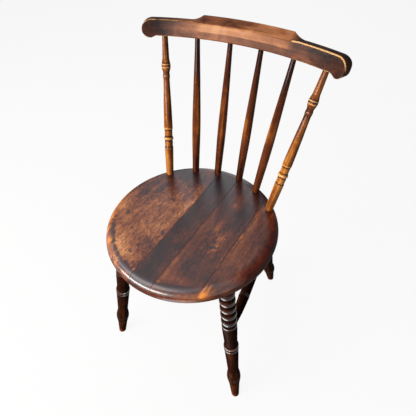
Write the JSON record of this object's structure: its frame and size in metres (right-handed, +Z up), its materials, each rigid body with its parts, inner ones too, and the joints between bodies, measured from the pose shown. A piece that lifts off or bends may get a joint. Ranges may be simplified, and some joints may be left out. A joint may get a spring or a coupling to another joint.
{
  "type": "spindle back kitchen chair",
  "caption": "Round board seat on turned splayed legs, with turned posts, slim spindles and a curved leaning crest rail.",
  "frame": {"origin": "on the floor, under the middle of the chair's own bounding box, 38 mm behind the seat's centre and 3 mm to its left", "axes": "+Z up, -Y towards the sitter's front, +X to the right when the chair is seen from the front"},
  "size_m": [0.433, 0.456, 0.7809],
  "materials": {
    "seat_left_wood": "worn glossy varnish over mottled brown stain",
    "seat_wood": "glossy varnish over dark brown stain",
    "crest_wood": "glossy varnish over red brown stain, pale on worn edges",
    "spindle_wood": "glossy varnish over red brown stain",
    "post_wood": "glossy varnish over golden brown stain",
    "leg_wood": "glossy varnish over black brown stain, worn red at the feet",
    "dowel_wood": "bare wood"
  },
  "bodies": {
    "root": {"seat_board_left": "seat_left_wood", "seat_board_left_centre": "seat_wood", "seat_board_right_centre": "seat_wood", "seat_board_right": "seat_wood", "seat_dowel_1": "dowel_wood", "seat_dowel_2": "dowel_wood", "seat_dowel_3": "dowel_wood", "seat_dowel_4": "dowel_wood", "seat_dowel_5": "dowel_wood", "seat_dowel_6": "dowel_wood", "leg_front_left": "leg_wood", "leg_front_right": "leg_wood", "leg_back_left": "leg_wood", "leg_back_right": "leg_wood", "stretcher_left": "leg_wood", "stretcher_right": "leg_wood", "stretcher_cross": "leg_wood", "post_left": "post_wood", "post_right": "post_wood", "spindle_1": "spindle_wood", "spindle_2": "spindle_wood", "spindle_3": "spindle_wood", "spindle_4": "spindle_wood", "crest_rail": "crest_wood"}
  },
  "joints": []
}
